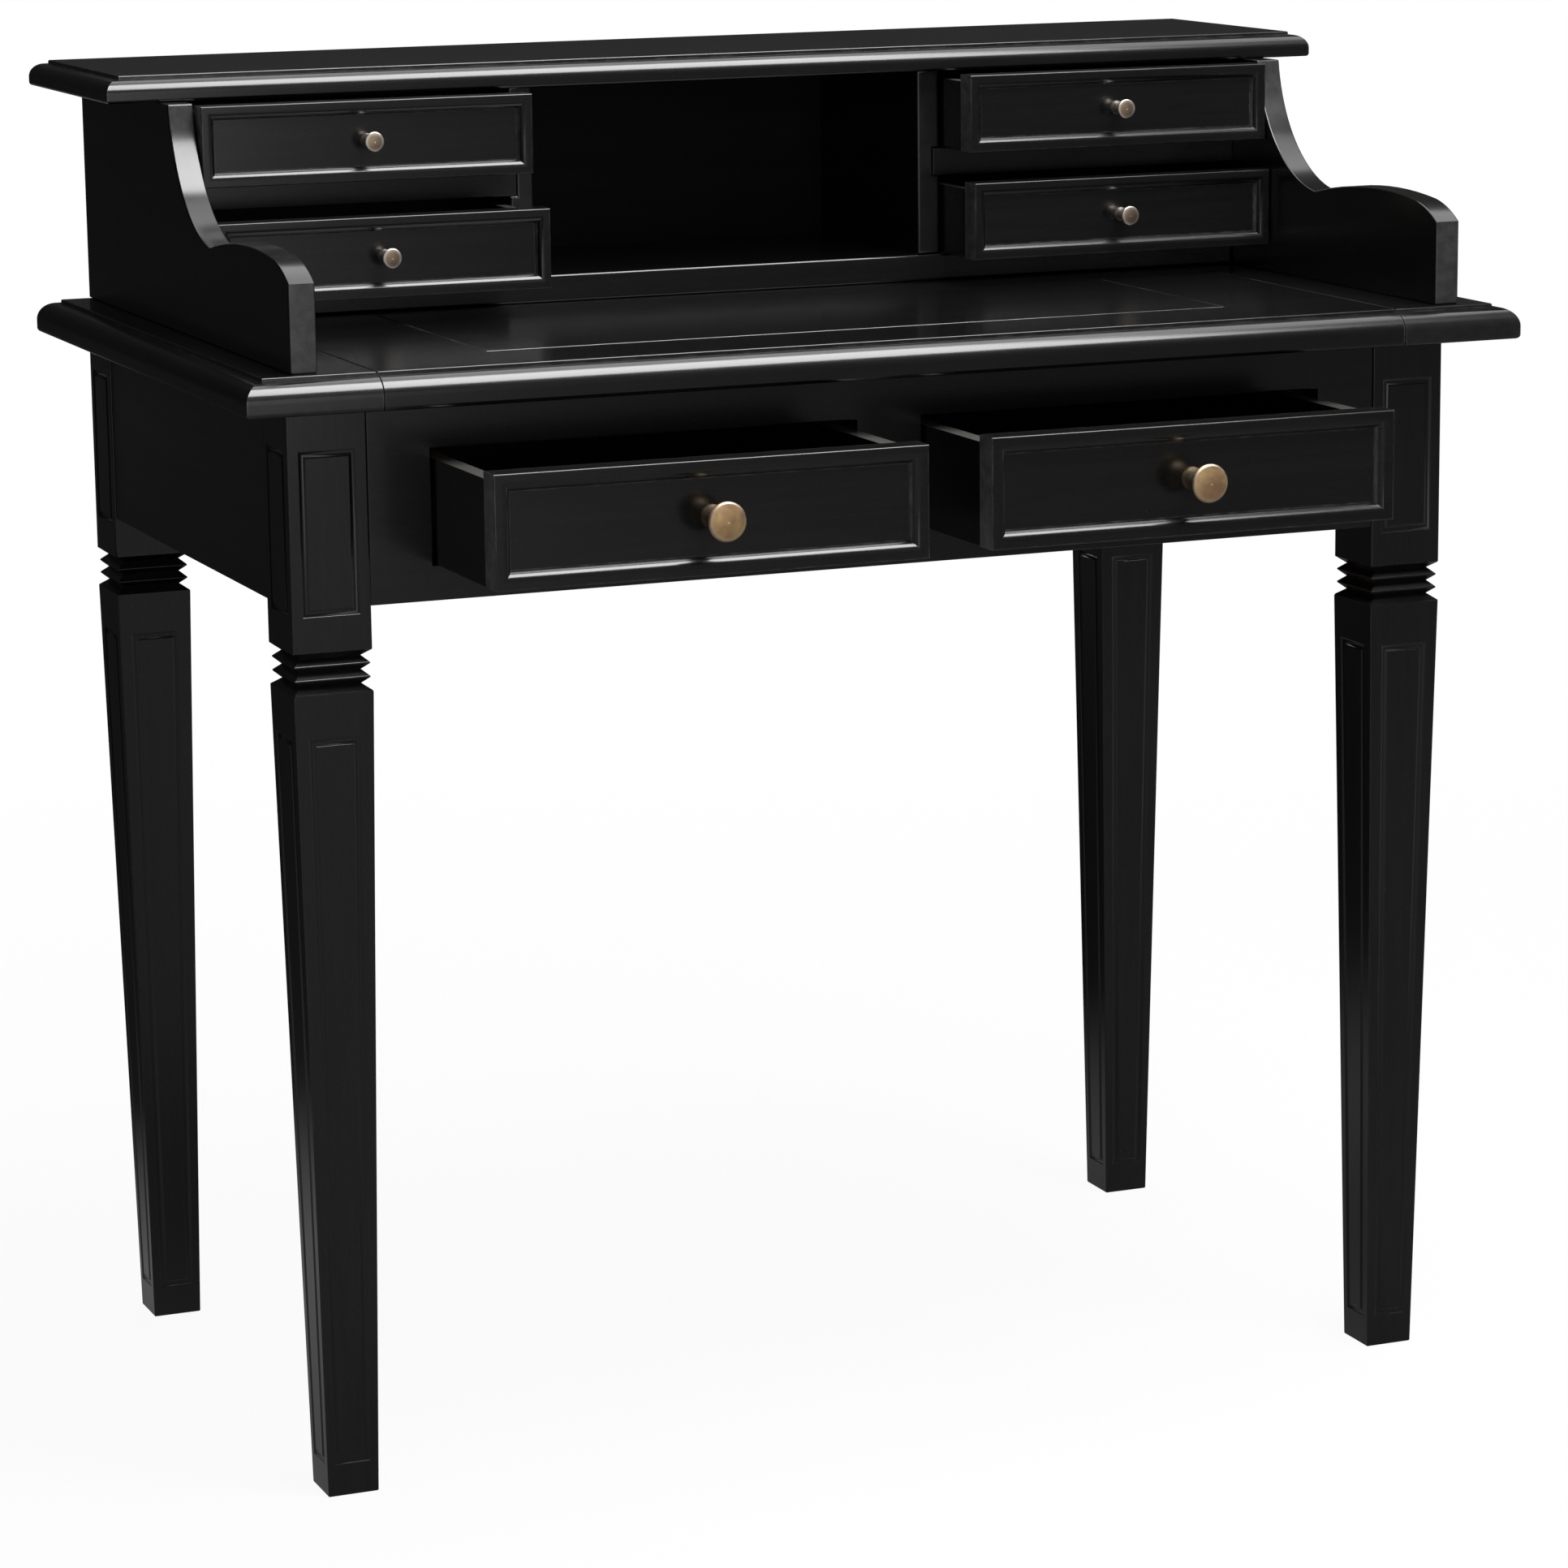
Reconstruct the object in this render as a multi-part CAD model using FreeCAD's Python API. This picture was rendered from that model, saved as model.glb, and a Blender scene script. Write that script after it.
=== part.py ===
import FreeCAD, Part
import os

from FreeCAD import Vector

# A bonheur du jour: a small writing desk on four square tapered legs.
# It has two large drawers under the top and a gallery with four small drawers and an open middle.
# X runs to the right, Y from the front to the back, Z up from the floor, all in millimetres.
# The model stands with its drawers pulled out by different amounts.

# Table frame
leg_spread_width = 858.0
leg_spread_depth = 498.0
writing_height = 775.0
top_thickness = 24.5
leg_block_size = 55.0
leg_foot_size = 36.0
leg_block_height = 163.0
leg_neck_height = 28.2
neck_groove_count = 3
neck_groove_depth = 6.5
neck_ring_blunting = 1.0

# Panel line hollowed into the leg faces in two flats a side, placed by its middle
panel_line_width = 5.0
panel_line_depth = 1.1
panel_line_flat_width = 0.5
panel_line_flat_depth = 0.75
block_line_margin = 10.3
block_line_above = 31.3
block_line_below = 26.3
shaft_line_margin_top = 11.5
shaft_line_margin_foot = 8.5
shaft_line_above = 32.5
shaft_line_below = 25.0

# Aprons and their tenons
apron_height = 134.5
apron_thickness = 20.0
apron_setback = 1.0
tenon_length = 22.0
tenon_thickness = 8.0
tenon_shoulder = 15.0

# Large drawers
large_opening_height = 78.0
large_outer_stile = 44.0
large_middle_stile = 48.0
large_bottom_rail = 24.0
large_front_thickness = 20.0
large_rim = 5.0
large_bead = 7.0
large_side_thickness = 12.0
large_side_drop = 5.0
large_bottom_thickness = 6.0
large_bottom_lift = 6.0
large_groove_depth = 5.0
large_back_gap = 36.0
large_open_left = 124.0
large_open_right = 114.0
runner_width = 24.0
runner_height = 20.0

# Small drawers
small_opening_height = 58.0
small_front_thickness = 18.0
small_rim = 4.5
small_bead = 5.5
small_side_thickness = 8.0
small_side_drop = 5.0
small_bottom_thickness = 4.0
small_bottom_lift = 4.0
small_groove_depth = 3.0
small_back_gap = 10.0
small_open_upper_left = 55.0
small_open_lower_left = 88.0
small_open_upper_right = 55.0
small_open_lower_right = 62.0

# Running clearances of every drawer
side_gap = 1.0
bottom_gap = 0.5
top_gap = 1.5
box_side_inset = 0.5

# Knobs: diameters, and how far they stand out from the sunk panel
large_knob_head = 26.5
large_knob_neck = 13.0
large_knob_base = 16.0
large_knob_reach = 30.0
large_knob_head_depth = 8.0
large_knob_spigot = 7.0
small_knob_head = 14.0
small_knob_neck = 8.0
small_knob_base = 10.0
small_knob_reach = 18.0
small_knob_head_depth = 5.0
small_knob_spigot = 4.5
knob_base_rim = 2.0
knob_rim_share = 0.075
knob_crown_share = 0.04
spigot_short_of_back = 3.0

# Desk top
top_overhang_side = 38.5
top_overhang_front = 44.0
top_overhang_back = 1.0
top_end_width = 92.5
tongue_length = 15.0
tongue_thickness = 8.0
tongue_setback = 40.0
panel_margin_side = 98.0
panel_margin_front = 84.0
panel_margin_back = 84.0
panel_thickness = 4.0
panel_gap = 0.6
panel_lip = 0.7
joint_line_width = 1.0
joint_line_depth = 1.5

# Moulded edge of the desk top and of the gallery's top shelf: rounds as shares of the board's thickness
edge_round_share = 0.53
edge_heel_share = 0.13
edge_ledge = 2.0
edge_step = 2.5

# Gallery
gallery_inset_side = 37.0
gallery_inset_back = 12.0
gallery_side_thickness = 18.5
gallery_depth = 193.0
gallery_floor_thickness = 20.0
gallery_divider_thickness = 18.0
gallery_middle_width = 301.0
drawer_shelf_thickness = 20.0
housing_depth = 5.0
gallery_back_thickness = 8.0
shelf_thickness = 18.5
shelf_overhang_side = 36.5
shelf_overhang_front = 18.0
shelf_overhang_back = 8.0

# Scrolled front of the gallery's side panels: heights above the desk top,
# the arm's distances behind its own front and the sweep's distances ahead of the nose
arm_setback = 24.5
arm_front_height = 58.5
arm_round_height = 66.0
arm_round_back = 13.0
arm_shoulder_height = 71.8
arm_shoulder_back = 32.0
arm_hump_height = 75.4
arm_hump_back = 92.5
scroll_valley_height = 65.6
scroll_valley_ahead = 92.2
scroll_belly_height = 96.9
scroll_belly_ahead = 29.0
scroll_nose_reach = 39.5

# Glue blocks behind the aprons and the screws through them
glue_block_length = 36.0
glue_block_depth = 18.0
glue_block_height = 20.0
screw_length = 32.0
screw_radius = 2.2
screw_head_radius = 4.2
screw_head_height = 2.5
screw_point_height = 5.0

# Extra length that lets a cutting shape pass through a face
overcut = 2.0

# Places that follow from the sizes
leg_x = leg_spread_width / 2
leg_y = leg_spread_depth / 2
leg_inner_x = leg_x - leg_block_size
leg_inner_y = leg_y - leg_block_size
under_top_z = writing_height - top_thickness
block_bottom_z = under_top_z - leg_block_height
neck_bottom_z = block_bottom_z - leg_neck_height
apron_bottom_z = under_top_z - apron_height
apron_face_y = -leg_y + apron_setback
apron_inner_y = apron_face_y + apron_thickness
apron_face_x = leg_x - apron_setback
apron_inner_x = apron_face_x - apron_thickness
top_x = leg_x + top_overhang_side
top_front_y = -leg_y - top_overhang_front
top_back_y = leg_y + top_overhang_back
end_joint_x = top_x - top_end_width
gallery_x = top_x - gallery_inset_side
gallery_back_y = top_back_y - gallery_inset_back
gallery_front_y = gallery_back_y - gallery_depth
gallery_inner_y = gallery_back_y - gallery_back_thickness
gallery_inner_x = gallery_x - gallery_side_thickness
divider_inner_x = gallery_middle_width / 2
divider_outer_x = divider_inner_x + gallery_divider_thickness
floor_top_z = writing_height + gallery_floor_thickness
drawer_shelf_bottom_z = floor_top_z + small_opening_height
drawer_shelf_top_z = drawer_shelf_bottom_z + drawer_shelf_thickness
shelf_bottom_z = drawer_shelf_top_z + small_opening_height
shelf_top_z = shelf_bottom_z + shelf_thickness
large_opening_z = apron_bottom_z + large_bottom_rail
large_opening_inner_x = large_middle_stile / 2
large_opening_width = leg_inner_x - large_outer_stile - large_opening_inner_x
large_centre_x = large_opening_inner_x + large_opening_width / 2
large_length = -apron_inner_y - apron_face_y - large_back_gap
small_length = gallery_inner_y - gallery_front_y - small_back_gap
small_opening_width = gallery_inner_x - divider_outer_x
small_centre_x = (gallery_inner_x + divider_outer_x) / 2

pieces = {}


def block(x0, x1, y0, y1, z0, z1):
    """A box between the given limits."""
    return Part.makeBox(x1 - x0, y1 - y0, z1 - z0, Vector(x0, y0, z0))


def quarter_round(start, centre, end):
    """An arc of under half a turn from start to end about centre."""
    outward = (start - centre) + (end - centre)
    middle = centre + outward.normalize() * (start - centre).Length
    return Part.Arc(start, middle, end).toShape()


def straight(start, end):
    """A straight edge."""
    return Part.LineSegment(start, end).toShape()


def extruded(edges, direction):
    """A solid from a closed outline."""
    return Part.Face(Part.Wire(edges)).extrude(direction)


def box_loft(levels):
    """A solid through level rectangles from the bottom up, each given as x0, x1, y0, y1 and z."""
    wires = []
    for x0, x1, y0, y1, z in levels:
        corners = [Vector(x0, y0, z), Vector(x1, y0, z), Vector(x1, y1, z), Vector(x0, y1, z)]
        wires.append(Part.makePolygon(corners + corners[:1]))
    return Part.makeLoft(wires, True, True)


# Legs

def shaft_half(z):
    """Half the width of the tapered shaft at a height."""
    foot = leg_foot_size / 2
    return foot + (leg_block_size / 2 - foot) * z / neck_bottom_z


def block_half(z):
    """Half the width of the leg's top block, the same all the way up."""
    return leg_block_size / 2


def panel_line(bottom_z, top_z, bottom_margin, top_margin, half_at):
    """The ring that hollows a line into the leg face that looks along -Y."""

    def outline(depth, growth):
        corners = []
        for end, z, margin in ((-1, bottom_z, bottom_margin), (1, top_z, top_margin)):
            half = half_at(z) - margin + growth
            for side in (end, -end):
                corners.append(Vector(side * half, depth - half_at(z), z + end * growth))
        return Part.makePolygon(corners + corners[:1])

    half_width = panel_line_width / 2
    bend = half_width * panel_line_flat_width
    bend_depth = panel_line_depth * panel_line_flat_depth
    spread = half_width + (half_width - bend) * overcut / bend_depth
    rings = []
    for way in (1, -1):
        outlines = [outline(-overcut, way * spread), outline(bend_depth, way * bend),
                    outline(panel_line_depth, 0)]
        rings.append(Part.makeLoft(outlines, True, True))
    outer, inner = rings
    return outer.cut(inner)


def turned(shape, quarter_turns):
    """A copy turned about the vertical axis."""
    copy = shape.copy()
    copy.rotate(Vector(0, 0, 0), Vector(0, 0, 1), 90 * quarter_turns)
    return copy


def make_leg():
    """The front left leg about its own axis."""
    sections = [(0.0, leg_foot_size / 2), (neck_bottom_z, leg_block_size / 2)]
    pitch = leg_neck_height / neck_groove_count
    for groove in range(neck_groove_count):
        valley_z = neck_bottom_z + (groove + 0.5) * pitch
        sections.append((valley_z, leg_block_size / 2 - neck_groove_depth))
        if groove < neck_groove_count - 1:
            ring_z = neck_bottom_z + (groove + 1) * pitch
            sections.append((ring_z, leg_block_size / 2 - neck_ring_blunting))
    sections.append((block_bottom_z, leg_block_size / 2))
    sections.append((under_top_z, leg_block_size / 2))
    leg = box_loft([(-half, half, -half, half, z) for z, half in sections])
    shaft_line = panel_line(shaft_line_below, neck_bottom_z - shaft_line_above,
                            shaft_line_margin_foot, shaft_line_margin_top, shaft_half)
    block_line = panel_line(block_bottom_z + block_line_below, under_top_z - block_line_above,
                            block_line_margin, block_line_margin, block_half)
    for quarter in range(4):
        leg = leg.cut(turned(shaft_line, quarter))
    # The block shows its line on the front and on the outer side only.
    leg = leg.cut(block_line)
    leg = leg.cut(turned(block_line, -1))
    return leg


# Aprons

def tenon_bar(x0, x1, y0, y1):
    """The bar that gives a board its tenons, lower and shorter than the board by the shoulders."""
    return block(x0, x1, y0, y1, apron_bottom_z + tenon_shoulder, under_top_z - tenon_shoulder)


def make_cross_apron(face_y, inner_y):
    """A board between two legs, along X, with its two tenons."""
    middle_y = (face_y + inner_y) / 2
    low_y = min(face_y, inner_y)
    high_y = max(face_y, inner_y)
    board = block(-leg_inner_x, leg_inner_x, low_y, high_y, apron_bottom_z, under_top_z)
    reach = leg_inner_x + tenon_length
    half = tenon_thickness / 2
    return board.fuse(tenon_bar(-reach, reach, middle_y - half, middle_y + half)).removeSplitter()


def make_side_apron(side):
    """A board between a front and a back leg, along Y, with its two tenons; side is -1 or 1."""
    low_x = min(side * apron_face_x, side * apron_inner_x)
    high_x = max(side * apron_face_x, side * apron_inner_x)
    middle_x = (low_x + high_x) / 2
    board = block(low_x, high_x, -leg_inner_y, leg_inner_y, apron_bottom_z, under_top_z)
    reach = leg_inner_y + tenon_length
    half = tenon_thickness / 2
    return board.fuse(tenon_bar(middle_x - half, middle_x + half, -reach, reach)).removeSplitter()


apron_front = make_cross_apron(apron_face_y, apron_inner_y)
for side in (-1, 1):
    low_x = min(side * large_opening_inner_x, side * (large_opening_inner_x + large_opening_width))
    opening = block(low_x, low_x + large_opening_width, apron_face_y - overcut, apron_inner_y + overcut,
                    large_opening_z, large_opening_z + large_opening_height)
    apron_front = apron_front.cut(opening)
pieces["apron_front"] = apron_front
pieces["apron_back"] = make_cross_apron(-apron_face_y, -apron_inner_y)
pieces["apron_left"] = make_side_apron(-1)
pieces["apron_right"] = make_side_apron(1)

leg_shape = make_leg()
leg_axis_x = leg_x - leg_block_size / 2
leg_axis_y = leg_y - leg_block_size / 2
leg_places = [
    ("leg_front_left", -1, -1, 0),
    ("leg_front_right", 1, -1, 1),
    ("leg_back_right", 1, 1, 2),
    ("leg_back_left", -1, 1, 3),
]
for name, side, end, quarter in leg_places:
    leg = turned(leg_shape, quarter)
    leg.translate(Vector(side * leg_axis_x, end * leg_axis_y, 0))
    cross = pieces["apron_front"] if end < 0 else pieces["apron_back"]
    flank = pieces["apron_left"] if side < 0 else pieces["apron_right"]
    pieces[name] = leg.cut(cross).cut(flank)


# Runners under the sides of the large drawers

box_outer_half = large_opening_width / 2 - side_gap - box_side_inset
runner_offset = box_outer_half - large_side_thickness / 2
runners = []
for side in (-1, 1):
    for edge in (-1, 1):
        centre_x = side * large_centre_x + edge * runner_offset
        runners.append(block(centre_x - runner_width / 2, centre_x + runner_width / 2,
                             apron_inner_y, -apron_inner_y,
                             large_opening_z - runner_height, large_opening_z))
pieces["drawer_runners"] = Part.makeCompound(runners)


# Desk top and gallery shelf, both with the moulded edge

def edge_outline(low, high, bottom_z, top_z, place):
    """The moulded cross-section between two edges; place turns a distance and a height into a point."""
    thickness = top_z - bottom_z
    edge_round = thickness * edge_round_share
    heel_round = thickness * edge_heel_share
    shoulder_z = top_z - edge_step
    spring_z = shoulder_z - edge_round
    inner = edge_round + edge_ledge
    edges = []
    for edge, inward in ((high, -1), (low, 1)):
        foot = place(edge + inward * heel_round, bottom_z)
        heel_centre = place(edge + inward * heel_round, bottom_z + heel_round)
        heel = place(edge, bottom_z + heel_round)
        spring = place(edge, spring_z)
        crown = place(edge + inward * edge_round, shoulder_z)
        ledge = place(edge + inward * inner, shoulder_z)
        lip = place(edge + inward * inner, top_z)
        edges.append(quarter_round(foot, heel_centre, heel))
        edges.append(straight(heel, spring))
        edges.append(quarter_round(spring, place(edge + inward * edge_round, spring_z), crown))
        edges.append(straight(crown, ledge))
        edges.append(straight(ledge, lip))
    for inset, z in ((heel_round, bottom_z), (inner, top_z)):
        edges.append(straight(place(low + inset, z), place(high - inset, z)))
    return Part.__sortEdges__(edges)


def moulded_slab(half_x, front_y, back_y, bottom_z, top_z):
    """A board with the moulding on all four edges, mitred at the corners."""
    side_view = edge_outline(front_y, back_y, bottom_z, top_z, lambda d, z: Vector(-half_x, d, z))
    front_view = edge_outline(-half_x, half_x, bottom_z, top_z, lambda d, z: Vector(d, front_y, z))
    along_x = extruded(side_view, Vector(2 * half_x, 0, 0))
    along_y = extruded(front_view, Vector(0, back_y - front_y, 0))
    return along_x.common(along_y)


whole_top = moulded_slab(top_x, top_front_y, top_back_y, under_top_z, writing_height)
tongue_middle_z = (under_top_z + writing_height) / 2
tongue_reach = end_joint_x + tongue_length
tongue = block(-tongue_reach, tongue_reach, top_front_y + tongue_setback, top_back_y - tongue_setback,
               tongue_middle_z - tongue_thickness / 2, tongue_middle_z + tongue_thickness / 2)
middle_band = block(-end_joint_x, end_joint_x, top_front_y - overcut, top_back_y + overcut,
                    under_top_z - overcut, writing_height + overcut)
panel_x = end_joint_x - panel_margin_side
panel_front_y = top_front_y + panel_margin_front
panel_back_y = top_back_y - panel_margin_back
panel_bed_z = writing_height - panel_thickness


def panel_level(growth, z):
    """The writing panel's rectangle at a height, grown beyond its recess."""
    return (-panel_x - growth, panel_x + growth, panel_front_y - growth, panel_back_y + growth, z)


panel_recess = box_loft([panel_level(0, panel_bed_z), panel_level(0, writing_height - panel_lip),
                         panel_level(2 * panel_lip, writing_height + panel_lip)])
pieces["writing_panel"] = box_loft([panel_level(-panel_gap, panel_bed_z),
                                    panel_level(-panel_gap, writing_height - panel_lip),
                                    panel_level(-panel_gap - panel_lip, writing_height)])
top_board = whole_top.common(middle_band).fuse(tongue).removeSplitter().cut(panel_recess)

# A fine line is cut round the top where the end boards meet the middle board.
top_core = moulded_slab(top_x - joint_line_depth,
                        top_front_y + joint_line_depth, top_back_y - joint_line_depth,
                        under_top_z + joint_line_depth, writing_height - joint_line_depth)
joint_lines = []
for side in (-1, 1):
    low_x = side * end_joint_x - joint_line_width / 2
    saw = block(low_x, low_x + joint_line_width, top_front_y - overcut, top_back_y + overcut,
                under_top_z - overcut, writing_height + overcut)
    joint_lines.append(saw.cut(top_core))
    top_board = top_board.cut(joint_lines[-1])
top_ends = {}
for name, side in (("top_end_left", -1), ("top_end_right", 1)):
    outer = top_x + overcut
    low_x = min(side * end_joint_x, side * outer)
    band = block(low_x, low_x + outer - end_joint_x, top_front_y - overcut, top_back_y + overcut,
                 under_top_z - overcut, writing_height + overcut)
    top_ends[name] = whole_top.common(band).cut(tongue)
    for line in joint_lines:
        top_ends[name] = top_ends[name].cut(line)


# Glue blocks and their screws, up into the desk top

def make_screw():
    """A countersunk wood screw, point up, with its head at the origin."""
    head = Part.makeCone(screw_head_radius, screw_radius, screw_head_height)
    shank_length = screw_length - screw_point_height
    shank = Part.makeCylinder(screw_radius, shank_length)
    point = Part.makeCone(screw_radius, 0, screw_point_height, Vector(0, 0, shank_length))
    return head.fuse(shank).fuse(point).removeSplitter()


block_bottom = under_top_z - glue_block_height
half_length = glue_block_length / 2
half_depth = glue_block_depth / 2
cross_block_y = -apron_inner_y - half_depth
side_block_x = apron_inner_x - half_depth
glue_places = []
for side in (-1, 1):
    for end in (-1, 1):
        glue_places.append((side * large_centre_x, end * cross_block_y, half_length, half_depth))
    glue_places.append((side * side_block_x, 0.0, half_depth, half_length))
screw_shape = make_screw()
glue_blocks = []
top_screws = []
for x, y, half_x, half_y in glue_places:
    screw = screw_shape.copy()
    screw.translate(Vector(x, y, block_bottom))
    top_screws.append(screw)
    rubbed = block(x - half_x, x + half_x, y - half_y, y + half_y, block_bottom, under_top_z)
    glue_blocks.append(rubbed.cut(screw))
    top_board = top_board.cut(screw)
    for name in top_ends:
        top_ends[name] = top_ends[name].cut(screw)
pieces["glue_blocks"] = Part.makeCompound(glue_blocks)
pieces["top_screws"] = Part.makeCompound(top_screws)
pieces["top_board"] = top_board
pieces.update(top_ends)


# Gallery

arm_front_y = top_front_y + arm_setback
nose_y = gallery_front_y - scroll_nose_reach


def scroll_point(y, height):
    """A point of the side panel's outline, at a height above the desk top."""
    return Vector(0, y, writing_height + height)


def make_gallery_side(side):
    """A scrolled side panel: a humped arm, a hollow sweep and an upright nose under the shelf."""
    foot_front = scroll_point(arm_front_y, 0)
    arm_front = scroll_point(arm_front_y, arm_front_height)
    arm_round = scroll_point(arm_front_y + arm_round_back, arm_round_height)
    shoulder = scroll_point(arm_front_y + arm_shoulder_back, arm_shoulder_height)
    hump = scroll_point(arm_front_y + arm_hump_back, arm_hump_height)
    valley = scroll_point(nose_y - scroll_valley_ahead, scroll_valley_height)
    belly = scroll_point(nose_y - scroll_belly_ahead, scroll_belly_height)
    nose = Vector(0, nose_y, shelf_bottom_z)
    top_back = Vector(0, gallery_back_y, shelf_bottom_z)
    foot_back = Vector(0, gallery_back_y, writing_height)
    edges = [
        straight(foot_front, arm_front),
        Part.Arc(arm_front, arm_round, shoulder).toShape(),
        Part.Arc(shoulder, hump, valley).toShape(),
        Part.Arc(valley, belly, nose).toShape(),
        straight(nose, top_back),
        straight(top_back, foot_back),
        straight(foot_back, foot_front),
    ]
    panel = extruded(edges, Vector(gallery_side_thickness, 0, 0))
    panel.translate(Vector(min(side * gallery_x, side * gallery_inner_x), 0, 0))
    return panel


def make_drawer_shelf(side):
    """The board between the upper and the lower small drawer, let into the side panel and the divider."""
    inner = side * (divider_outer_x - housing_depth)
    outer = side * (gallery_inner_x + housing_depth)
    return block(min(inner, outer), max(inner, outer), gallery_front_y, gallery_inner_y,
                 drawer_shelf_bottom_z, drawer_shelf_top_z)


def make_divider(side):
    """The upright between a drawer bank and the open middle."""
    low_x = min(side * divider_inner_x, side * divider_outer_x)
    return block(low_x, low_x + gallery_divider_thickness, gallery_front_y, gallery_inner_y,
                 floor_top_z, shelf_bottom_z)


pieces["gallery_floor"] = block(-gallery_inner_x, gallery_inner_x, gallery_front_y, gallery_inner_y,
                                writing_height, floor_top_z)
pieces["gallery_back"] = block(-gallery_inner_x, gallery_inner_x, gallery_inner_y, gallery_back_y,
                               writing_height, shelf_bottom_z)
for word, side in (("left", -1), ("right", 1)):
    drawer_shelf = make_drawer_shelf(side)
    pieces["gallery_drawer_shelf_" + word] = drawer_shelf
    pieces["gallery_divider_" + word] = make_divider(side).cut(drawer_shelf)
    pieces["gallery_side_" + word] = make_gallery_side(side).cut(drawer_shelf)
shelf_x = gallery_x + shelf_overhang_side
shelf_front_y = gallery_front_y - shelf_overhang_front
shelf_back_y = gallery_back_y + shelf_overhang_back
pieces["gallery_top_shelf"] = moulded_slab(shelf_x, shelf_front_y, shelf_back_y, shelf_bottom_z, shelf_top_z)


# Drawers

def recess_outline(half, rim, bead, place):
    """The cross-section of the sunk panel's space, with the bead's round on both sides."""
    mouth = half - rim
    floor = mouth - bead
    slant = bead * 0.5 ** 0.5
    edges = []
    for side in (-1, 1):
        lip = place(side * mouth, -overcut)
        start = place(side * mouth, 0)
        middle = place(side * (mouth - slant), bead - slant)
        end = place(side * floor, bead)
        edges.append(straight(lip, start))
        edges.append(Part.Arc(start, middle, end).toShape())
    edges.append(straight(place(-floor, bead), place(floor, bead)))
    edges.append(straight(place(-mouth, -overcut), place(mouth, -overcut)))
    return Part.__sortEdges__(edges)


def make_front(width, height, thickness, rim, bead):
    """A drawer front with its face at Y 0, centred on X and standing on Z 0."""
    front = block(-width / 2, width / 2, 0, thickness, 0, height)
    across = recess_outline(width / 2, rim, bead, lambda d, y: Vector(d, y, 0))
    upright = recess_outline(height / 2, rim, bead, lambda d, y: Vector(-width / 2, y, height / 2 + d))
    recess = extruded(across, Vector(0, 0, height)).common(extruded(upright, Vector(width, 0, 0)))
    return front.cut(recess)


def make_knob(head, neck, base, reach, head_depth, spigot, spigot_length):
    """A turned mushroom knob about the Y axis: its base on Y 0, its head towards -Y, its spigot behind."""
    under_head_y = head_depth - reach
    neck_y = (under_head_y - knob_base_rim) / 2
    rim_round = head * knob_rim_share
    crown_rise = head * knob_crown_share
    under_depth = head_depth - rim_round - crown_rise
    rim_y = under_head_y - under_depth
    tail = Vector(0, spigot_length, 0)
    spigot_end = Vector(spigot / 2, spigot_length, 0)
    spigot_root = Vector(spigot / 2, 0, 0)
    base_edge = Vector(base / 2, 0, 0)
    base_rim = Vector(base / 2, -knob_base_rim, 0)
    waist = Vector(neck / 2, neck_y, 0)
    throat = Vector((head + neck) / 4, under_head_y, 0)
    head_rim = Vector(head / 2, rim_y, 0)
    rim_centre = Vector(head / 2 - rim_round, rim_y, 0)
    face_edge = Vector(head / 2 - rim_round, rim_y - rim_round, 0)
    crown = Vector(0, -reach, 0)
    # The underside swells out square to the rim, and the low crown is part of a sphere about the axis.
    swell = head_rim.x - throat.x
    under_centre = Vector(head_rim.x - (swell ** 2 + under_depth ** 2) / (2 * swell), rim_y, 0)
    crown_radius = (face_edge.x ** 2 + crown_rise ** 2) / (2 * crown_rise)
    crown_centre = Vector(0, crown_radius - reach, 0)
    edges = [
        straight(tail, spigot_end),
        straight(spigot_end, spigot_root),
        straight(spigot_root, base_edge),
        straight(base_edge, base_rim),
        Part.Arc(base_rim, waist, throat).toShape(),
        quarter_round(throat, under_centre, head_rim),
        quarter_round(head_rim, rim_centre, face_edge),
        quarter_round(face_edge, crown_centre, crown),
        straight(crown, tail),
    ]
    return Part.Face(Part.Wire(edges)).revolve(Vector(0, 0, 0), Vector(0, 1, 0), 360)


def make_drawer(name, centre_x, face_y, opening_z, opening_width, opening_height, size, knob_size):
    """The six pieces of one drawer, with the rim of its front at face_y."""
    thickness, rim, bead, side_thickness, side_drop, bottom_thickness, bottom_lift, groove, length = size
    head, neck, base, reach, head_depth, spigot = knob_size
    width = opening_width - 2 * side_gap
    height = opening_height - bottom_gap - top_gap
    outer = width / 2 - box_side_inset
    inner = outer - side_thickness
    side_top = height - side_drop
    bottom_top = bottom_lift + bottom_thickness
    front = make_front(width, height, thickness, rim, bead)
    bottom = block(-inner - groove, inner + groove, thickness - groove, length, bottom_lift, bottom_top)
    spigot_length = thickness - bead - spigot_short_of_back
    knob = make_knob(head, neck, base, reach, head_depth, spigot, spigot_length)
    knob.translate(Vector(0, bead, height / 2))
    made = {
        "front": front.cut(bottom).cut(knob),
        "side_left": block(-outer, -inner, thickness, length, 0, side_top).cut(bottom),
        "side_right": block(inner, outer, thickness, length, 0, side_top).cut(bottom),
        "back": block(-inner, inner, length - side_thickness, length, bottom_top, side_top),
        "bottom": bottom,
        "knob": knob,
    }
    for piece in made:
        made[piece].translate(Vector(centre_x, face_y, opening_z + bottom_gap))
        pieces[name + "_" + piece] = made[piece]


large_size = (large_front_thickness, large_rim, large_bead, large_side_thickness, large_side_drop,
              large_bottom_thickness, large_bottom_lift, large_groove_depth, large_length)
large_knob_size = (large_knob_head, large_knob_neck, large_knob_base, large_knob_reach,
                   large_knob_head_depth, large_knob_spigot)
for word, side, opened in (("left", -1, large_open_left), ("right", 1, large_open_right)):
    make_drawer("large_drawer_" + word, side * large_centre_x, apron_face_y - opened, large_opening_z,
                large_opening_width, large_opening_height, large_size, large_knob_size)

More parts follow.
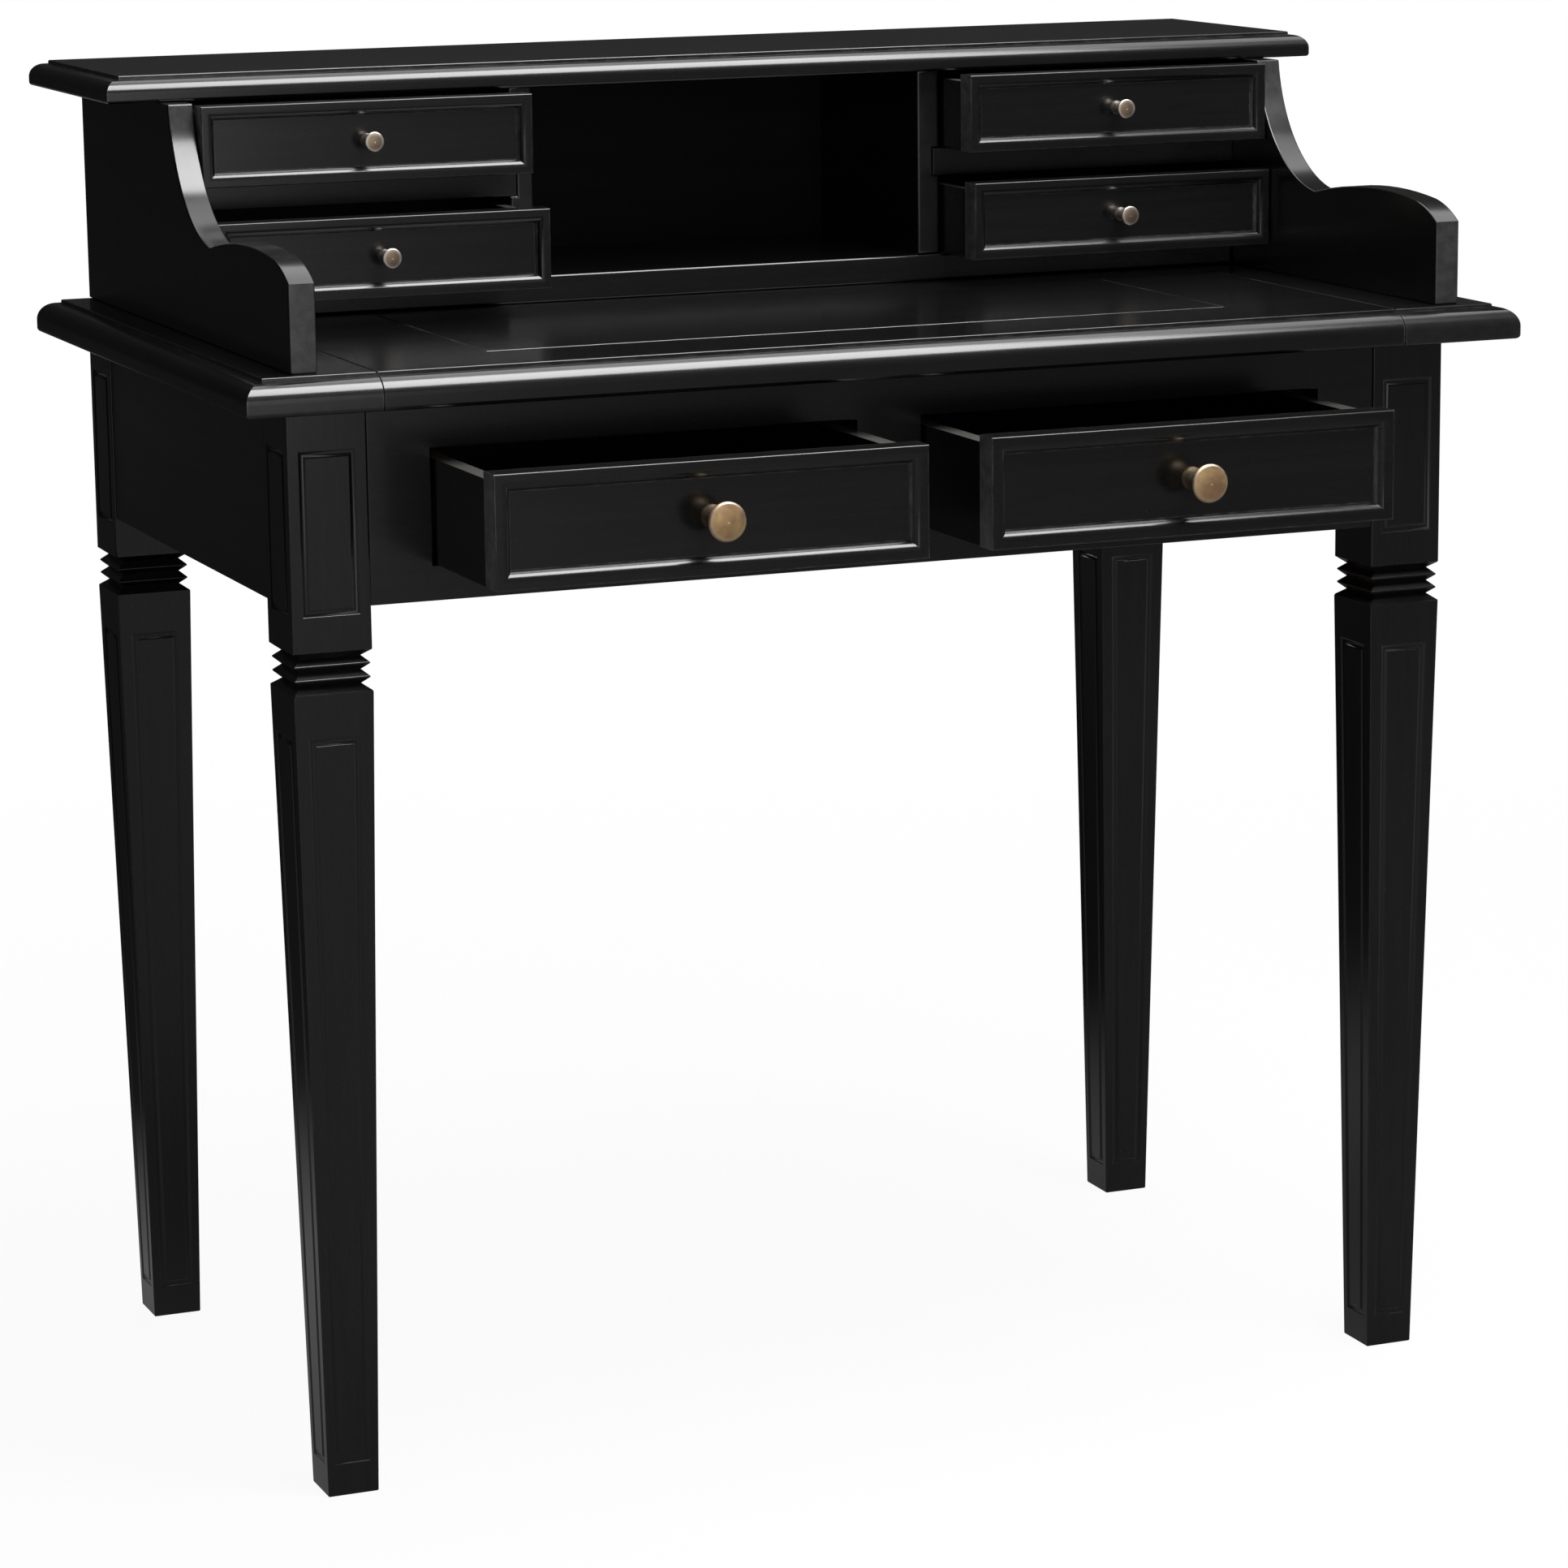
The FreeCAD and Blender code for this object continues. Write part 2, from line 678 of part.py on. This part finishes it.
small_size = (small_front_thickness, small_rim, small_bead, small_side_thickness, small_side_drop,
              small_bottom_thickness, small_bottom_lift, small_groove_depth, small_length)
small_knob_size = (small_knob_head, small_knob_neck, small_knob_base, small_knob_reach,
                   small_knob_head_depth, small_knob_spigot)
small_places = [
    ("upper_left", -1, drawer_shelf_top_z, small_open_upper_left),
    ("lower_left", -1, floor_top_z, small_open_lower_left),
    ("upper_right", 1, drawer_shelf_top_z, small_open_upper_right),
    ("lower_right", 1, floor_top_z, small_open_lower_right),
]
for word, side, opening_z, opened in small_places:
    make_drawer("small_drawer_" + word, side * small_centre_x, gallery_front_y - opened, opening_z,
                small_opening_width, small_opening_height, small_size, small_knob_size)


# The origin is on the floor, in the middle of the whole outline with the drawers as they stand.

knob_tip_y = apron_face_y - max(large_open_left, large_open_right) + large_bead - large_knob_reach
front_limit_y = min(top_front_y, knob_tip_y)
back_limit_y = max(top_back_y, leg_y, shelf_back_y)
to_origin = Vector(0, -(front_limit_y + back_limit_y) / 2, 0)

os.makedirs("parts", exist_ok=True)
for name in sorted(pieces):
    shape = pieces[name]
    shape.translate(to_origin)
    shape.exportStep("parts/" + name + ".step")
    print(name, len(shape.Solids), round(shape.Volume), shape.isValid())
print("nodes", len(pieces), "origin shift", to_origin.y)
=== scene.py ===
import math

import bpy
from mathutils import Matrix, Vector


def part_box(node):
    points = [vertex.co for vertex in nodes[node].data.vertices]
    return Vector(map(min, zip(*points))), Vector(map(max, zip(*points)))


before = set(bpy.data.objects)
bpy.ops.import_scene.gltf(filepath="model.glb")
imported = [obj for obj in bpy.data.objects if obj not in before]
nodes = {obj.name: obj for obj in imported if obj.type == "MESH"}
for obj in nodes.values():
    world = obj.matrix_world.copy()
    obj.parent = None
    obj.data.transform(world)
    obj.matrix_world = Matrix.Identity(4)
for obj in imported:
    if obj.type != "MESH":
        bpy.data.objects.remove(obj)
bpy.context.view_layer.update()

scene = bpy.context.scene

# Camera, at the photograph's viewing angle

photo_width = 1932
sensor_width = 36.0
focal_pixels = 6333.0
camera_place = Vector((-1.385, -3.379, 1.192))
camera_yaw = math.radians(22.15)
camera_pitch = math.radians(11.8)
camera_roll = math.radians(-0.68)

forward = Vector((
    math.sin(camera_yaw) * math.cos(camera_pitch),
    math.cos(camera_yaw) * math.cos(camera_pitch),
    -math.sin(camera_pitch),
))
level_right = Vector((math.cos(camera_yaw), -math.sin(camera_yaw), 0.0))
level_up = level_right.cross(forward)
camera_right = level_right * math.cos(camera_roll) + level_up * math.sin(camera_roll)
camera_up = level_up * math.cos(camera_roll) - level_right * math.sin(camera_roll)

camera_data = bpy.data.cameras.new("photo_camera")
camera_data.sensor_fit = "HORIZONTAL"
camera_data.sensor_width = sensor_width
camera_data.lens = focal_pixels / photo_width * sensor_width
camera = bpy.data.objects.new("photo_camera", camera_data)
scene.collection.objects.link(camera)
turn = Matrix((camera_right, camera_up, -forward)).transposed()
camera.matrix_world = Matrix.Translation(camera_place) @ turn.to_4x4()
scene.camera = camera
scene.view_settings.view_transform = "Standard"


# Helpers for node trees

class Builder:
    """Adds nodes to a node tree. An input is a plain value or another node's output."""

    def __init__(self, tree):
        self.tree = tree

    def put(self, socket, value):
        if isinstance(value, bpy.types.NodeSocket):
            self.tree.links.new(value, socket)
        else:
            socket.default_value = value

    def add(self, kind, inputs=None, **settings):
        node = self.tree.nodes.new(kind)
        for name, value in settings.items():
            setattr(node, name, value)
        for key, value in (inputs or {}).items():
            self.put(node.inputs[key], value)
        return node


class Shading(Builder):
    """The shader nodes of a material or of the world."""

    def __init__(self, owner):
        owner.use_nodes = True
        super().__init__(owner.node_tree)
        self.tree.nodes.clear()

    def math(self, operation, first, second=0.0, clamp=False):
        node = self.add("ShaderNodeMath", {0: first, 1: second}, operation=operation, use_clamp=clamp)
        return node.outputs[0]

    def times(self, first, second):
        return self.math("MULTIPLY", first, second)

    def vector(self, operation, inputs):
        return self.add("ShaderNodeVectorMath", inputs, operation=operation).outputs

    def split(self, vector):
        return self.add("ShaderNodeSeparateXYZ", {0: vector}).outputs

    def normal(self):
        return self.add("ShaderNodeNewGeometry").outputs["Normal"]

    def spread(self, value, low, high, to_low=0.0, to_high=1.0):
        """Maps the range from low to high onto another range, clamped."""
        keys = {"Value": value, "From Min": low, "From Max": high, "To Min": to_low, "To Max": to_high}
        return self.add("ShaderNodeMapRange", keys).outputs["Result"]

    def mix(self, factor, first, second):
        """Mixes two colours, whose sockets come after the node's number and vector sockets."""
        node = self.add("ShaderNodeMix", data_type="RGBA")
        self.put(node.inputs["Factor"], factor)
        self.put(node.inputs[6], first)
        self.put(node.inputs[7], second)
        return node.outputs[2]

    def noise(self, vector, scale, detail=4.0, roughness=0.55, distortion=0.0):
        keys = {"Vector": vector, "Scale": scale, "Detail": detail, "Roughness": roughness,
                "Distortion": distortion}
        return self.add("ShaderNodeTexNoise", keys).outputs["Fac"]

    def place(self, scale=(1.0, 1.0, 1.0)):
        """The piece's own coordinates, scaled by axis."""
        own = self.add("ShaderNodeTexCoord").outputs["Object"]
        return self.add("ShaderNodeMapping", {"Vector": own, "Scale": scale}).outputs["Vector"]

    def bump(self, height, strength, distance):
        keys = {"Height": height, "Strength": strength, "Distance": distance}
        return self.add("ShaderNodeBump", keys).outputs["Normal"]

    def edge_mask(self, radius, low, high):
        """Near 1 along sharp edges, 0 on flat faces."""
        rounded = self.add("ShaderNodeBevel", {"Radius": radius}, samples=4).outputs["Normal"]
        alike = self.vector("DOT_PRODUCT", {0: rounded, 1: self.normal()})["Value"]
        return self.spread(self.math("SUBTRACT", 1.0, alike), low, high)

    def surface(self, shader):
        self.add("ShaderNodeOutputMaterial", {"Surface": shader.outputs[0]})

    def principled(self, inputs):
        self.surface(self.add("ShaderNodeBsdfPrincipled", inputs))


def grey(level):
    return (level, level, level, 1.0)


# Lacquered wood

along_grain = 0.055
across_grain = 1.0

deep_black = (0.0003, 0.0003, 0.0004, 1.0)
figure_black = (0.0030, 0.0029, 0.0028, 1.0)
cloud_black = (0.0018, 0.0017, 0.0017, 1.0)
speck_grey = (0.030, 0.029, 0.027, 1.0)
# A lighter grey for the upward faces of the drawer walls
upward_face_grey = (0.105, 0.102, 0.092, 1.0)
faint_edge = (0.040, 0.037, 0.033, 1.0)
drawer_edge = (0.130, 0.125, 0.115, 1.0)
top_edge = (0.150, 0.145, 0.135, 1.0)
# Light grey for the writing panel's edges: worn edges with a painted highlight along its outline
panel_wear_and_highlight = (0.42, 0.40, 0.37, 1.0)

lacquer_index = 1.5
under_mirror = 0.15
coat_roughness = 0.18
wiped_smoother = 0.03
wiped_rougher = 0.05
rubbed_rougher = 0.14
pores_rougher = 0.05
pore_share = 0.35
coat_grain_share = 0.5
grain_height = 0.00035


def grain_scale(axis):
    """Noise stretched along the board's length, x, y or z."""
    return tuple(along_grain if name == axis else across_grain for name in "xyz")


def lacquer(axis, name, roughness, grain, coat=1.0, lighter_tops=False, end_level=0.008,
            edge=faint_edge, edge_share=0.5):
    """Black lacquer over wood: the grain shows through it, edges and end grain are rubbed thin, the edge
    colour can also be a painted highlight, and upward faces can be made a lighter grey.
    """
    material = bpy.data.materials.new(name + "_" + axis)
    tree = Shading(material)
    place = tree.place()
    board = tree.place(grain_scale(axis))
    pores = tree.noise(board, scale=620.0, detail=5.0, roughness=0.62)
    figure = tree.noise(board, scale=150.0, detail=6.0, roughness=0.65, distortion=0.4)
    wipes = tree.noise(board, scale=34.0, detail=3.0)
    clouds = tree.noise(place, scale=9.0, detail=3.0)
    chips = tree.noise(place, scale=95.0)
    fibres = tree.noise(place, scale=130.0)
    specks = tree.noise(place, scale=420.0, detail=2.0)
    facing = tree.split(tree.normal())
    endwise = tree.math("ABSOLUTE", facing[axis.upper()])

    # Sharp edges, broken up by chips, take the edge colour: worn edges, and on the writing panel also a
    # painted highlight
    edge_wear_and_highlight = tree.times(tree.edge_mask(radius=0.0022, low=0.03, high=0.30),
                     tree.spread(chips, 0.42, 0.68, 0.15, 1.0))
    end_grain = tree.times(tree.spread(endwise, 0.80, 0.95), tree.spread(fibres, 0.35, 0.65, 0.5, 1.0))
    base = tree.mix(tree.spread(figure, 0.3, 0.7), deep_black, figure_black)
    base = tree.mix(tree.spread(clouds, 0.35, 0.75, 0.0, 0.5), base, cloud_black)
    base = tree.mix(end_grain, base, grey(end_level))
    base = tree.mix(tree.times(edge_wear_and_highlight, edge_share), base, edge)
    base = tree.mix(tree.spread(specks, 0.74, 0.79, 0.0, 0.5), base, speck_grey)
    # Upward faces are made a lighter grey, in streaks
    if lighter_tops:
        top_lightening = tree.times(tree.spread(facing["Z"], 0.75, 0.97), tree.spread(wipes, 0.25, 0.6, 0.45, 1.0))
        base = tree.mix(top_lightening, base, upward_face_grey)

    rough = tree.spread(wipes, 0.3, 0.7, roughness - wiped_smoother, roughness + wiped_rougher)
    rough = tree.math("ADD", rough, tree.times(edge_wear_and_highlight, rubbed_rougher))
    rough = tree.math("ADD", rough, tree.spread(pores, 0.55, 0.75, 0.0, pores_rougher))
    height = tree.math("ADD", tree.times(pores, pore_share), figure)
    tree.principled({
        "Base Color": base,
        "Roughness": rough,
        "IOR": lacquer_index,
        "Specular IOR Level": under_mirror,
        "Coat Weight": coat,
        "Coat Roughness": coat_roughness,
        "Coat IOR": lacquer_index,
        "Normal": tree.bump(height, grain, grain_height),
        "Coat Normal": tree.bump(height, grain * coat_grain_share, grain_height),
    })
    return material


outside = {axis: lacquer(axis, "black_lacquer", roughness=0.34, grain=0.12) for axis in "xyz"}
gallery_end = lacquer("y", "gallery_end", roughness=0.34, grain=0.12, end_level=0.036)
drawer_front = lacquer("x", "drawer_front", roughness=0.34, grain=0.12, end_level=0.095,
                       edge=drawer_edge, edge_share=0.7)
worn_top = {axis: lacquer(axis, "worn_top", roughness=0.34, grain=0.10, edge=top_edge, edge_share=0.6)
            for axis in "xyz"}
# The writing panel's edges are worn and carry a painted highlight
worn_and_highlit_panel = lacquer("x", "worn_and_highlit_panel", roughness=0.34, grain=0.10, edge=panel_wear_and_highlight, edge_share=0.9)
inside = {axis: lacquer(axis, "black_stain", roughness=0.50, grain=0.14, coat=0.0) for axis in "xyz"}
drawer_wall = {axis: lacquer(axis, "stain_lighter_tops", roughness=0.50, grain=0.14, lighter_tops=True)
               for axis in "xyz"}

# Bare wood, brass and steel

early_wood = (0.285, 0.180, 0.098, 1.0)
late_wood = (0.155, 0.088, 0.044, 1.0)
stained_wood = (0.110, 0.066, 0.036, 1.0)
pale_brass = (0.760, 0.700, 0.630, 1.0)
spotted_brass = (0.300, 0.210, 0.130, 1.0)
# Near black under a knob's head: tarnish, darkened further as painted shade
brass_tarnish_and_shade = (0.030, 0.022, 0.014, 1.0)
steel_grey = (0.42, 0.41, 0.40, 1.0)
steel_brown = (0.16, 0.085, 0.045, 1.0)
wood_height = 0.0005
metal_height = 0.0003
stem_fade = 0.06
rim_end = 0.96
spots_rougher = 0.16


def bare_wood(axis):
    """Unfinished softwood of the hidden pieces, with rings, fine pores and age."""
    material = bpy.data.materials.new("bare_wood_" + axis)
    tree = Shading(material)
    board = tree.place(grain_scale(axis))
    rings = tree.noise(board, scale=42.0, detail=3.0, roughness=0.5, distortion=1.2)
    pores = tree.noise(board, scale=520.0)
    stain = tree.noise(tree.place(), scale=11.0)
    base = tree.mix(tree.spread(rings, 0.35, 0.65), late_wood, early_wood)
    base = tree.mix(tree.spread(stain, 0.45, 0.75, 0.0, 0.6), base, stained_wood)
    tree.principled({
        "Base Color": base,
        "Roughness": tree.spread(pores, 0.3, 0.7, 0.62, 0.82),
        "Normal": tree.bump(tree.math("ADD", rings, pores), strength=0.25, distance=wood_height),
    })
    return material


def aged_brass(name, golden, reddish, stem, stem_reach, rim_start, rim_share, roughness):
    """Turned brass with tarnish and painted shade under the head, and other colours on stem and rim."""
    material = bpy.data.materials.new(name)
    tree = Shading(material)
    place = tree.place()
    spots = tree.noise(place, scale=210.0, detail=5.0, roughness=0.65)
    clouds = tree.noise(place, scale=95.0, detail=3.0)
    # In the knob's own box its axis runs along y, from the face at 0 to the end of the spigot at 1
    in_box = tree.add("ShaderNodeTexCoord").outputs["Generated"]
    from_middle = tree.vector("SUBTRACT", {0: in_box, 1: (0.5, 0.5, 0.5)})[0]
    from_axis = tree.vector("MULTIPLY", {0: from_middle, 1: (2.0, 0.0, 2.0)})[0]
    radius = tree.vector("LENGTH", {0: from_axis})["Value"]
    under_head = tree.spread(tree.split(in_box)["Y"], 0.07, 0.11, 0.0, 0.95)
    on_stem = tree.times(under_head, tree.spread(radius, stem_reach, stem_reach + stem_fade, 1.0, 0.0))
    base = tree.mix(tree.spread(clouds, 0.38, 0.62), golden, reddish)
    base = tree.mix(tree.spread(spots, 0.55, 0.72, 0.0, 0.5), base, spotted_brass)
    base = tree.mix(tree.spread(radius, rim_start, rim_end, 0.0, rim_share), base, pale_brass)
    # Under the head the brass is darkened: tarnish and painted shade
    base = tree.mix(under_head, base, brass_tarnish_and_shade)
    base = tree.mix(on_stem, base, stem)
    tree.principled({
        "Base Color": base,
        "Metallic": 1.0,
        "Roughness": tree.spread(spots, 0.3, 0.7, roughness, roughness + spots_rougher),
        "Normal": tree.bump(spots, strength=0.12, distance=metal_height),
    })
    return material


def dull_steel():
    """Screws: dull steel with a brown bloom."""
    material = bpy.data.materials.new("dull_steel")
    tree = Shading(material)
    bloom = tree.noise(tree.place(), scale=260.0, detail=5.0, roughness=0.6)
    tree.principled({
        "Base Color": tree.mix(tree.spread(bloom, 0.48, 0.66, 0.0, 0.8), steel_grey, steel_brown),
        "Metallic": 1.0,
        "Roughness": tree.spread(bloom, 0.3, 0.7, 0.38, 0.62),
        "Normal": tree.bump(bloom, strength=0.2, distance=metal_height),
    })
    return material


plain = {axis: bare_wood(axis) for axis in "xyz"}
brass = aged_brass("aged_brass", golden=(0.690, 0.490, 0.240, 1.0), reddish=(0.545, 0.335, 0.190, 1.0),
                   stem=(0.400, 0.320, 0.210, 1.0), stem_reach=0.62, rim_start=0.78, rim_share=0.35,
                   roughness=0.42)
dull_brass = aged_brass("dull_brass", golden=(0.350, 0.275, 0.190, 1.0), reddish=(0.285, 0.205, 0.150, 1.0),
                        stem=pale_brass, stem_reach=0.72, rim_start=0.62, rim_share=0.9, roughness=0.34)
steel = dull_steel()

# Which node has which material

bare_nodes = ("drawer_runners", "glue_blocks")
wall_ends = ("_side_left", "_side_right", "_back")


def long_axis(name):
    """The axis of a node's longest side, which its grain follows."""
    low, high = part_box(name)
    sides = high - low
    return max("xyz", key=lambda axis: sides["xyz".index(axis)])


def material_of(name):
    axis = long_axis(name)
    if name.endswith("_knob"):
        return dull_brass if name.startswith("small") else brass
    if name == "top_screws":
        return steel
    if name in bare_nodes:
        return plain[axis]
    if "drawer_" in name and name.endswith(wall_ends):
        return drawer_wall[axis]
    if name.endswith("_bottom") or name == "gallery_back":
        return inside[axis]
    if name == "writing_panel":
        return worn_and_highlit_panel
    if name.startswith("top_") or name == "gallery_top_shelf":
        return worn_top[axis]
    if name.startswith("gallery_side"):
        return gallery_end
    if name.endswith("_front") and "drawer_" in name:
        return drawer_front
    return outside[axis]


# Rounded arrises, as sanded by hand

weld_distance = 0.00001
end_reach = 0.0001
arris_angle = math.radians(60.0)
crease_angle = math.radians(30.0)
flat_angle = math.radians(0.5)
arris_segments = 4

broad_arris = 0.0022
sanded_arris = 0.0013
eased_arris = 0.0009
fine_arris = 0.0005


class Modifier(Builder):
    """A geometry node group from a mesh to a mesh."""

    def __init__(self, name):
        super().__init__(bpy.data.node_groups.new(name, "GeometryNodeTree"))
        for direction in ("INPUT", "OUTPUT"):
            self.tree.interface.new_socket("Mesh", in_out=direction, socket_type="NodeSocketGeometry")
        self.mesh = self.add("NodeGroupInput").outputs[0]

    def step(self, kind, inputs=None, **settings):
        """Adds a node that the mesh passes through."""
        node = self.add(kind, inputs, **settings)
        self.put(node.inputs[0], self.mesh)
        self.mesh = node.outputs[0]

    def compare(self, operation, first, second):
        return self.add("FunctionNodeCompare", {0: first, 1: second}, operation=operation).outputs[0]

    def steeper(self, output, angle):
        return self.compare("GREATER_THAN", self.add("GeometryNodeInputMeshEdgeAngle").outputs[output], angle)

    def done(self):
        self.add("NodeGroupOutput", {0: self.mesh})
        return self.tree


def join_corners():
    """Welds the corners and makes every face smooth, for the edges to be found."""
    join = Modifier("join_corners")
    join.step("GeometryNodeMergeByDistance", {"Distance": weld_distance})
    join.step("GeometryNodeRemoveAttribute", {"Name": "custom_normal"})
    join.step("GeometryNodeSetShadeSmooth", domain="FACE")
    return join.done()


def pick_arrises(name, axis=None, from_end=None):
    """Marks the sharp outside edges, all of them or those near the low or high end of an axis."""
    pick = Modifier(name)
    sharp = pick.steeper("Signed Angle", arris_angle)
    if axis:
        end = pick.add("GeometryNodeBoundBox", {"Geometry": pick.mesh}).outputs[from_end]
        place = pick.add("GeometryNodeInputPosition").outputs[0]
        away = pick.add("ShaderNodeVectorMath", {0: place, 1: end}, operation="SUBTRACT").outputs[0]
        away = pick.add("ShaderNodeSeparateXYZ", {0: away}).outputs[axis]
        away = pick.add("ShaderNodeMath", {0: away}, operation="ABSOLUTE").outputs[0]
        near = pick.compare("LESS_THAN", away, end_reach)
        sharp = pick.add("FunctionNodeBooleanMath", {0: sharp, 1: near}, operation="AND").outputs[0]
    pick.step("GeometryNodeStoreNamedAttribute", {"Name": "bevel_weight_edge", "Value": sharp},
              data_type="FLOAT", domain="EDGE")
    return pick.done()


def keep_creases():
    """Shades every edge smooth but the steep ones."""
    crease = Modifier("keep_creases")
    crease.step("GeometryNodeSetShadeSmooth", {"Shade Smooth": True}, domain="EDGE")
    crease.step("GeometryNodeSetShadeSmooth", {
        "Selection": crease.steeper("Unsigned Angle", crease_angle),
        "Shade Smooth": False,
    }, domain="EDGE")
    return crease.done()


join_group = join_corners()
pick_all = pick_arrises("pick_arrises")
pick_top = pick_arrises("pick_top_arrises", "Z", "Max")
pick_face = pick_arrises("pick_face_arrises", "Y", "Min")
crease_group = keep_creases()


def arris_of(name):
    """Which of a node's sharp edges are rounded, and how wide in metres."""
    if name.startswith(("leg_", "gallery_side")):
        return pick_all, sanded_arris
    if name.startswith("apron_"):
        return pick_all, eased_arris
    if name.endswith("_front"):
        return pick_face, eased_arris
    if name.startswith("top_") or name == "gallery_top_shelf":
        return pick_top, eased_arris
    if name.startswith(("gallery_floor", "gallery_divider")):
        return pick_face, broad_arris
    return pick_all, fine_arris


def round_arrises(name, node):
    node.modifiers.new("join_corners", "NODES").node_group = join_group
    flat = node.modifiers.new("join_flat_faces", "DECIMATE")
    flat.decimate_type = "DISSOLVE"
    flat.angle_limit = flat_angle
    group, width = arris_of(name)
    node.modifiers.new("pick_arrises", "NODES").node_group = group
    arris = node.modifiers.new("arris", "BEVEL")
    arris.limit_method = "WEIGHT"
    arris.width = width
    arris.segments = arris_segments
    node.modifiers.new("keep_creases", "NODES").node_group = crease_group
    shading = node.modifiers.new("flat_faces_flat", "WEIGHTED_NORMAL")
    shading.keep_sharp = True


for name, node in nodes.items():
    for slot in node.material_slots:
        slot.material = material_of(name)
    if not name.endswith("_knob") and name != "top_screws":
        round_arrises(name, node)

# Room: plain white to the camera, and dim in the gloss, as the lacquer in the photograph shows it

white = 1.0
room_left = 0.012
room_right = 0.028
room_front = 0.12
ambient_light = 0.16


def ray_level(tree, seen, mirrored, other):
    """One level for what the camera sees, one for what gloss and glass show, one for light."""
    rays = tree.add("ShaderNodeLightPath").outputs
    shown = tree.math("ADD", rays["Is Glossy Ray"], rays["Is Transmission Ray"], clamp=True)
    lit = tree.math("SUBTRACT", 1.0, tree.math("ADD", shown, rays["Is Camera Ray"]), clamp=True)
    level = tree.times(shown, mirrored)
    level = tree.math("ADD", level, tree.times(rays["Is Camera Ray"], seen))
    return tree.math("ADD", level, tree.times(lit, other))


world = bpy.data.worlds.new("studio")
scene.world = world
room = Shading(world)
heading = room.split(room.add("ShaderNodeTexCoord").outputs["Generated"])
room_sides = room.spread(heading["X"], -0.25, 0.25, room_left, room_right)
room_mirrored = room.spread(heading["Y"], -0.2, -0.6, room_sides, room_front)
sky = room.add("ShaderNodeBackground", {
    "Color": grey(white),
    "Strength": ray_level(room, seen=white, mirrored=room_mirrored, other=ambient_light),
})
room.add("ShaderNodeOutputWorld", {"Surface": sky.outputs[0]})

# Floor: white with a faint shadow to the camera, and patches of light and shade in the gloss

floor_reach = 6.0
floor_paint = 0.8
shadow_start = 0.9
shadow_end = 2.6
shadow_white = 0.94

front_far_level = 0.33
front_near_level = 0.24
behind_share = 0.07
right_share = 0.45
beneath_share = 0.5
back_patch_level = 0.2
back_patch_slant = 0.41
right_patch_level = 0.25

floor_mesh = bpy.data.meshes.new("floor")
corners = [(x * floor_reach, y * floor_reach, 0.0) for x, y in ((-1, -1), (1, -1), (1, 1), (-1, 1))]
floor_mesh.from_pydata(corners, [], [(0, 1, 2, 3)])
floor = bpy.data.objects.new("floor", floor_mesh)
scene.collection.objects.link(floor)
floor_material = bpy.data.materials.new("pale_floor")
floor_mesh.materials.append(floor_material)

ground = Shading(floor_material)
ground_place = ground.place()
ground_x, ground_y = ground.split(ground_place)[:2]
from_desk = ground.vector("LENGTH", {0: ground_place})["Value"]
# Each level on the floor changes between two places, given in metres from the middle of the desk
front = ground.spread(ground_y, -4.0, -1.2, front_far_level, front_near_level)
front = ground.times(front, ground.spread(ground_y, 0.4, 0.85, 1.0, behind_share))
front = ground.times(front, ground.spread(ground_x, 0.2, 1.8, 1.0, right_share))
front = ground.times(front, ground.spread(from_desk, 0.25, 0.6, beneath_share, 1.0))
slanted = ground.math("ADD", ground_x, ground.times(ground_y, back_patch_slant))
back_patch = ground.times(ground.spread(ground_y, 0.9, 1.7, 0.0, back_patch_level),
                          ground.spread(slanted, 0.95, 1.35))
right_patch = ground.times(ground.spread(ground_x, 1.05, 1.8, 0.0, right_patch_level),
                           ground.spread(ground_y, -2.0, -1.5))
floor_mirrored = ground.math("ADD", front, ground.math("MAXIMUM", back_patch, right_patch))
floor_white = ground.spread(from_desk, shadow_start, shadow_end, shadow_white, 1.0)
paint = ground.add("ShaderNodeBsdfDiffuse", {"Color": grey(floor_paint)})
glow = ground.add("ShaderNodeEmission", {
    "Color": grey(white),
    "Strength": ray_level(ground, seen=white, mirrored=floor_mirrored, other=0.0),
})
ground.surface(ground.add("ShaderNodeMixShader", {
    0: ray_level(ground, seen=floor_white, mirrored=1.0, other=0.0),
    1: paint.outputs[0],
    2: glow.outputs[0],
}))

# Studio lamps


def softbox(name, place, target, width, depth, watts, tint=(1.0, 1.0, 1.0)):
    """A rectangular studio lamp that faces a point."""
    data = bpy.data.lights.new(name, "AREA")
    data.shape = "RECTANGLE"
    data.size = width
    data.size_y = depth
    data.energy = watts
    data.color = tint
    lamp = bpy.data.objects.new(name, data)
    scene.collection.objects.link(lamp)
    lamp.location = place
    lamp.rotation_euler = (Vector(target) - Vector(place)).to_track_quat("-Z", "Y").to_euler()


softbox("overhead_softbox", place=(0.45, -0.85, 2.55), target=(0.3, -0.2, 0.8),
        width=1.3, depth=1.5, watts=82.0, tint=(1.0, 0.99, 1.0))
softbox("ceiling_softbox", place=(0.5, 0.5, 2.45), target=(0.4, 0.25, 0.8),
        width=2.2, depth=1.2, watts=19.0)
softbox("back_softbox", place=(1.0, 2.6, 0.35), target=(0.1, 0.3, 0.6),
        width=1.8, depth=0.6, watts=9.0)
softbox("front_softbox", place=(-0.25, -3.3, 1.1), target=(-0.1, 0.0, 0.6),
        width=1.6, depth=1.6, watts=9.5, tint=(1.0, 1.0, 0.98))
